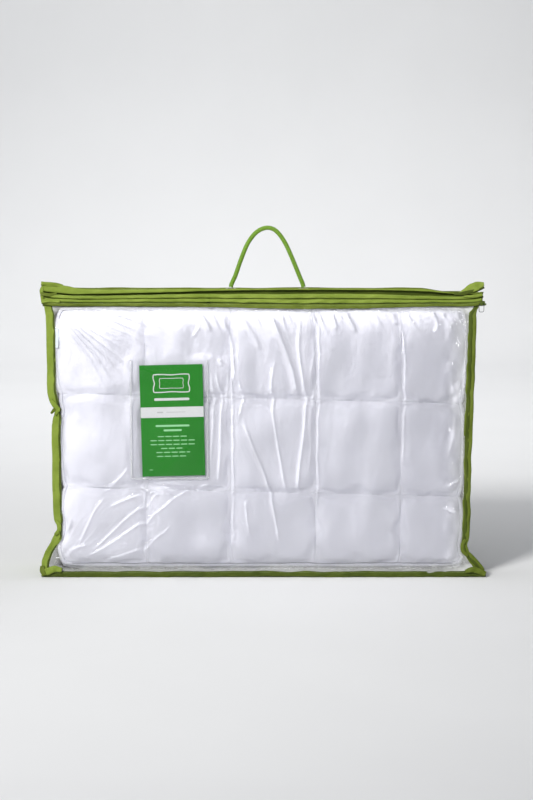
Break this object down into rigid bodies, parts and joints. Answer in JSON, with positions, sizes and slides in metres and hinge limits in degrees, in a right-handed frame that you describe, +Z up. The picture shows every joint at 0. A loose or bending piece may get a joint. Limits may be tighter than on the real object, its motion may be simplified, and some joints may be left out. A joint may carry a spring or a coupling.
{
  "type": "bed pillow",
  "caption": "Quilted box pillow in a zipped carry bag with a clear front, green fabric gussets, an insert card and a rope handle.",
  "frame": {"origin": "on the floor under the middle of the bag", "axes": "+Z up, +X to the right along the bag's width as seen from the clear front, +Y from the clear front to the back"},
  "size_m": [0.746, 0.1361, 0.583],
  "materials": {
    "clear_film": "clear flexible vinyl",
    "green_light": "non-woven fabric",
    "green": "non-woven fabric",
    "green_dark": "non-woven fabric in shade",
    "rope": "braided cord",
    "zip_coil": "woven in nylon coil",
    "zip_tape": "woven tape",
    "metal": "plated",
    "pillow_fabric": "cotton cover",
    "wadding": "loose polyester fibre",
    "label": "satin ribbon",
    "card": "printed"
  },
  "bodies": {
    "bag": {"front_panel": "clear_film", "card_pocket": "clear_film", "back_panel": "green", "side_gusset_left": "green_light", "side_gusset_right": "green_dark", "bottom_gusset": "green_dark", "binding_front_left": "green_light", "binding_front_right": "green_dark", "binding_front_bottom": "green_dark", "binding_back_left": "green_light", "binding_back_right": "green_dark", "binding_back_bottom": "green_dark", "binding_back_top": "green", "binding_bottom_left": "green_dark", "binding_bottom_right": "green_dark", "binding_top_left": "green_light", "binding_top_right": "green", "corner_tab_left": "green_light", "zip_facing_lower": "green", "zip_tape_lower": "zip_tape", "zip_coil_lower": "zip_coil", "zip_stop_left": "metal", "zip_stop_right": "metal", "care_label": "label", "pillow_cover_front": "pillow_fabric", "pillow_cover_back": "pillow_fabric", "pillow_border": "pillow_fabric", "pillow_piping_front": "pillow_fabric", "pillow_piping_back": "pillow_fabric", "pillow_wadding_front": "wadding", "pillow_wadding_back": "wadding", "pillow_fill": "wadding"},
    "top_flap": {"top_gusset": "green_light", "zip_facing_upper": "green_light", "zip_tape_upper": "zip_tape", "zip_coil_upper": "zip_coil", "eyelet_left": "metal", "eyelet_right": "metal", "eyelet_washer_left": "metal", "eyelet_washer_right": "metal", "rope_knot_left": "rope", "rope_knot_right": "rope", "corner_tab_right": "green_light"},
    "slider": {"zip_slider": "metal"},
    "pull": {"zip_pull": "metal"},
    "handle": {"rope_handle": "rope"},
    "card": {"insert_card": "card"}
  },
  "joints": [
    {"name": "mouth_open", "type": "hinge", "parent": "bag", "child": "top_flap", "pos_m": [0, 0.0535, 0.4715], "axis": [-1, 0, 0], "range_deg": [0, 65]},
    {"name": "zip_slide", "type": "slide", "parent": "bag", "child": "slider", "axis": [-1, 0, 0], "range_m": [0, 0.69]},
    {"name": "zip_pull_swing", "type": "hinge", "parent": "slider", "child": "pull", "pos_m": [0.355, -0.063, 0.458], "axis": [-1, 0, 0], "range_deg": [0, 150]},
    {"name": "handle_swing", "type": "hinge", "parent": "top_flap", "child": "handle", "pos_m": [0.0041, 0, 0.481], "axis": [1, 0, 0], "range_deg": [-75, 75]},
    {"name": "card_slide", "type": "slide", "parent": "bag", "child": "card", "axis": [-0.0227, 0, 0.9997], "range_m": [0, 0.17]}
  ],
  "couplings": [
    {"joint": "zip_slide", "follows": "mouth_open", "m_per_rad": 0.6}
  ]
}
